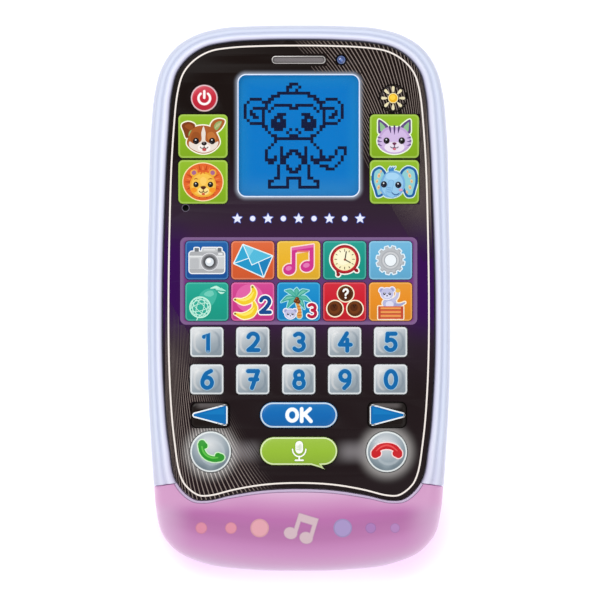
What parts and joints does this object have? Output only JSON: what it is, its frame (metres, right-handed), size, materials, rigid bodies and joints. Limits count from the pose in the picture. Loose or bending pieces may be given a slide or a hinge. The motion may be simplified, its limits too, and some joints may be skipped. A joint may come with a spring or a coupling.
{
  "type": "toy cell phone",
  "caption": "Toy cell phone with a small square display, rows of picture and number keys, round call keys, a glowing translucent chin and a battery door at the back.",
  "frame": {"origin": "centre of the phone's bounding box at its back face, which lies on the surface", "axes": "+Z out of the screen, +Y towards the earpiece end, +X to the right as the screen is read"},
  "size_m": [0.091, 0.164, 0.0234],
  "materials": {
    "lilac_shell": "satin moulded plastic",
    "lilac_back": "fine moulded texture",
    "pink_diffuser": "translucent pink plastic, lit from inside",
    "black_faceplate": "polished, printed from behind",
    "clear_lens": "clear polished plastic",
    "screen_glass": "blue display, lit from behind",
    "milky_plastic": "milky light guide",
    "grey_rubber": "moulded rubber",
    "board_green": "coated circuit board",
    "led_lens": "clear tinted lens",
    "dark_steel": "black painted steel",
    "bright_steel": "plated steel",
    "grille_grey": "moulded plastic",
    "camera_glass": "polished dark blue",
    "battery_jacket": "printed metal jacket",
    "silver_key": "silver painted plastic",
    "green_key": "glossy plastic",
    "deep_blue_key": "glossy plastic",
    "orange_key": "glossy plastic",
    "yellow_key": "glossy plastic",
    "teal_key": "glossy plastic",
    "sky_blue_key": "glossy plastic",
    "pink_key": "glossy plastic",
    "bright_blue_key": "glossy plastic",
    "red_key": "glossy plastic",
    "amber_key": "glossy plastic"
  },
  "bodies": {
    "root": {"front_housing": "lilac_shell", "rear_housing": "lilac_back", "light_cover": "pink_diffuser", "faceplate": "black_faceplate", "screen_lens": "clear_lens", "screen_panel": "screen_glass", "screen_backlight": "milky_plastic", "keypad_sheet": "grey_rubber", "circuit_board": "board_green", "light_board": "board_green", "led_left": "led_lens", "led_right": "led_lens", "speaker": "dark_steel", "earpiece_grille": "grille_grey", "microphone": "bright_steel", "camera_lens": "camera_glass", "battery_left": "battery_jacket", "battery_right": "battery_jacket", "battery_spring_left": "bright_steel", "battery_spring_right": "bright_steel", "battery_bridge": "bright_steel", "battery_terminal": "bright_steel", "housing_screw_1": "bright_steel", "housing_screw_2": "bright_steel", "housing_screw_3": "bright_steel", "housing_screw_4": "bright_steel"},
    "key_1": {"key_1": "silver_key"},
    "key_2": {"key_2": "silver_key"},
    "key_3": {"key_3": "silver_key"},
    "key_4": {"key_4": "silver_key"},
    "key_5": {"key_5": "silver_key"},
    "key_6": {"key_6": "silver_key"},
    "key_7": {"key_7": "silver_key"},
    "key_8": {"key_8": "silver_key"},
    "key_9": {"key_9": "silver_key"},
    "key_0": {"key_0": "silver_key"},
    "key_camera": {"key_camera": "deep_blue_key"},
    "key_mail": {"key_mail": "orange_key"},
    "key_music": {"key_music": "yellow_key"},
    "key_clock": {"key_clock": "teal_key"},
    "key_settings": {"key_settings": "sky_blue_key"},
    "key_net": {"key_net": "teal_key"},
    "key_bananas": {"key_bananas": "pink_key"},
    "key_palm": {"key_palm": "bright_blue_key"},
    "key_coconuts": {"key_coconuts": "red_key"},
    "key_crate": {"key_crate": "amber_key"},
    "key_dog": {"key_dog": "green_key"},
    "key_lion": {"key_lion": "green_key"},
    "key_cat": {"key_cat": "green_key"},
    "key_elephant": {"key_elephant": "green_key"},
    "key_ok": {"key_ok": "deep_blue_key"},
    "key_talk": {"key_talk": "green_key"},
    "key_call": {"key_call": "silver_key"},
    "key_hang_up": {"key_hang_up": "silver_key"},
    "key_power": {"key_power": "red_key"},
    "key_light": {"key_light": "black_faceplate"},
    "key_left": {"key_left": "black_faceplate"},
    "key_right": {"key_right": "black_faceplate"},
    "battery_door": {"battery_door": "lilac_back", "battery_door_screw": "bright_steel"}
  },
  "joints": [
    {"name": "battery_door_lift", "type": "slide", "parent": "root", "child": "battery_door", "axis": [0, 0, -1], "range_m": [0, 0.02]},
    {"name": "key_1_press", "type": "slide", "parent": "root", "child": "key_1", "axis": [0, 0, -1], "range_m": [0, 0.001], "stiffness_N_per_m": 400, "springref_m": -0.0005},
    {"name": "key_2_press", "type": "slide", "parent": "root", "child": "key_2", "axis": [0, 0, -1], "range_m": [0, 0.001], "stiffness_N_per_m": 400, "springref_m": -0.0005},
    {"name": "key_3_press", "type": "slide", "parent": "root", "child": "key_3", "axis": [0, 0, -1], "range_m": [0, 0.001], "stiffness_N_per_m": 400, "springref_m": -0.0005},
    {"name": "key_4_press", "type": "slide", "parent": "root", "child": "key_4", "axis": [0, 0, -1], "range_m": [0, 0.001], "stiffness_N_per_m": 400, "springref_m": -0.0005},
    {"name": "key_5_press", "type": "slide", "parent": "root", "child": "key_5", "axis": [0, 0, -1], "range_m": [0, 0.001], "stiffness_N_per_m": 400, "springref_m": -0.0005},
    {"name": "key_6_press", "type": "slide", "parent": "root", "child": "key_6", "axis": [0, 0, -1], "range_m": [0, 0.001], "stiffness_N_per_m": 400, "springref_m": -0.0005},
    {"name": "key_7_press", "type": "slide", "parent": "root", "child": "key_7", "axis": [0, 0, -1], "range_m": [0, 0.001], "stiffness_N_per_m": 400, "springref_m": -0.0005},
    {"name": "key_8_press", "type": "slide", "parent": "root", "child": "key_8", "axis": [0, 0, -1], "range_m": [0, 0.001], "stiffness_N_per_m": 400, "springref_m": -0.0005},
    {"name": "key_9_press", "type": "slide", "parent": "root", "child": "key_9", "axis": [0, 0, -1], "range_m": [0, 0.001], "stiffness_N_per_m": 400, "springref_m": -0.0005},
    {"name": "key_0_press", "type": "slide", "parent": "root", "child": "key_0", "axis": [0, 0, -1], "range_m": [0, 0.001], "stiffness_N_per_m": 400, "springref_m": -0.0005},
    {"name": "key_camera_press", "type": "slide", "parent": "root", "child": "key_camera", "axis": [0, 0, -1], "range_m": [0, 0.0006], "stiffness_N_per_m": 400, "springref_m": -0.0005},
    {"name": "key_mail_press", "type": "slide", "parent": "root", "child": "key_mail", "axis": [0, 0, -1], "range_m": [0, 0.0006], "stiffness_N_per_m": 400, "springref_m": -0.0005},
    {"name": "key_music_press", "type": "slide", "parent": "root", "child": "key_music", "axis": [0, 0, -1], "range_m": [0, 0.0006], "stiffness_N_per_m": 400, "springref_m": -0.0005},
    {"name": "key_clock_press", "type": "slide", "parent": "root", "child": "key_clock", "axis": [0, 0, -1], "range_m": [0, 0.0006], "stiffness_N_per_m": 400, "springref_m": -0.0005},
    {"name": "key_settings_press", "type": "slide", "parent": "root", "child": "key_settings", "axis": [0, 0, -1], "range_m": [0, 0.0006], "stiffness_N_per_m": 400, "springref_m": -0.0005},
    {"name": "key_net_press", "type": "slide", "parent": "root", "child": "key_net", "axis": [0, 0, -1], "range_m": [0, 0.0006], "stiffness_N_per_m": 400, "springref_m": -0.0005},
    {"name": "key_bananas_press", "type": "slide", "parent": "root", "child": "key_bananas", "axis": [0, 0, -1], "range_m": [0, 0.0006], "stiffness_N_per_m": 400, "springref_m": -0.0005},
    {"name": "key_palm_press", "type": "slide", "parent": "root", "child": "key_palm", "axis": [0, 0, -1], "range_m": [0, 0.0006], "stiffness_N_per_m": 400, "springref_m": -0.0005},
    {"name": "key_coconuts_press", "type": "slide", "parent": "root", "child": "key_coconuts", "axis": [0, 0, -1], "range_m": [0, 0.0006], "stiffness_N_per_m": 400, "springref_m": -0.0005},
    {"name": "key_crate_press", "type": "slide", "parent": "root", "child": "key_crate", "axis": [0, 0, -1], "range_m": [0, 0.0006], "stiffness_N_per_m": 400, "springref_m": -0.0005},
    {"name": "key_dog_press", "type": "slide", "parent": "root", "child": "key_dog", "axis": [0, 0, -1], "range_m": [0, 0.0006], "stiffness_N_per_m": 400, "springref_m": -0.0005},
    {"name": "key_lion_press", "type": "slide", "parent": "root", "child": "key_lion", "axis": [0, 0, -1], "range_m": [0, 0.0006], "stiffness_N_per_m": 400, "springref_m": -0.0005},
    {"name": "key_cat_press", "type": "slide", "parent": "root", "child": "key_cat", "axis": [0, 0, -1], "range_m": [0, 0.0006], "stiffness_N_per_m": 400, "springref_m": -0.0005},
    {"name": "key_elephant_press", "type": "slide", "parent": "root", "child": "key_elephant", "axis": [0, 0, -1], "range_m": [0, 0.0006], "stiffness_N_per_m": 400, "springref_m": -0.0005},
    {"name": "key_ok_press", "type": "slide", "parent": "root", "child": "key_ok", "axis": [0, 0, -1], "range_m": [0, 0.001], "stiffness_N_per_m": 400, "springref_m": -0.0005},
    {"name": "key_talk_press", "type": "slide", "parent": "root", "child": "key_talk", "axis": [0, 0, -1], "range_m": [0, 0.001], "stiffness_N_per_m": 400, "springref_m": -0.0005},
    {"name": "key_call_press", "type": "slide", "parent": "root", "child": "key_call", "axis": [0, 0, -1], "range_m": [0, 0.001], "stiffness_N_per_m": 400, "springref_m": -0.0005},
    {"name": "key_hang_up_press", "type": "slide", "parent": "root", "child": "key_hang_up", "axis": [0, 0, -1], "range_m": [0, 0.001], "stiffness_N_per_m": 400, "springref_m": -0.0005},
    {"name": "key_power_press", "type": "slide", "parent": "root", "child": "key_power", "axis": [0, 0, -1], "range_m": [0, 0.0008], "stiffness_N_per_m": 400, "springref_m": -0.0005},
    {"name": "key_light_press", "type": "slide", "parent": "root", "child": "key_light", "axis": [0, 0, -1], "range_m": [0, 0.0008], "stiffness_N_per_m": 400, "springref_m": -0.0005},
    {"name": "key_left_press", "type": "slide", "parent": "root", "child": "key_left", "axis": [0, 0, -1], "range_m": [0, 0.0008], "stiffness_N_per_m": 400, "springref_m": -0.0005},
    {"name": "key_right_press", "type": "slide", "parent": "root", "child": "key_right", "axis": [0, 0, -1], "range_m": [0, 0.0008], "stiffness_N_per_m": 400, "springref_m": -0.0005}
  ]
}
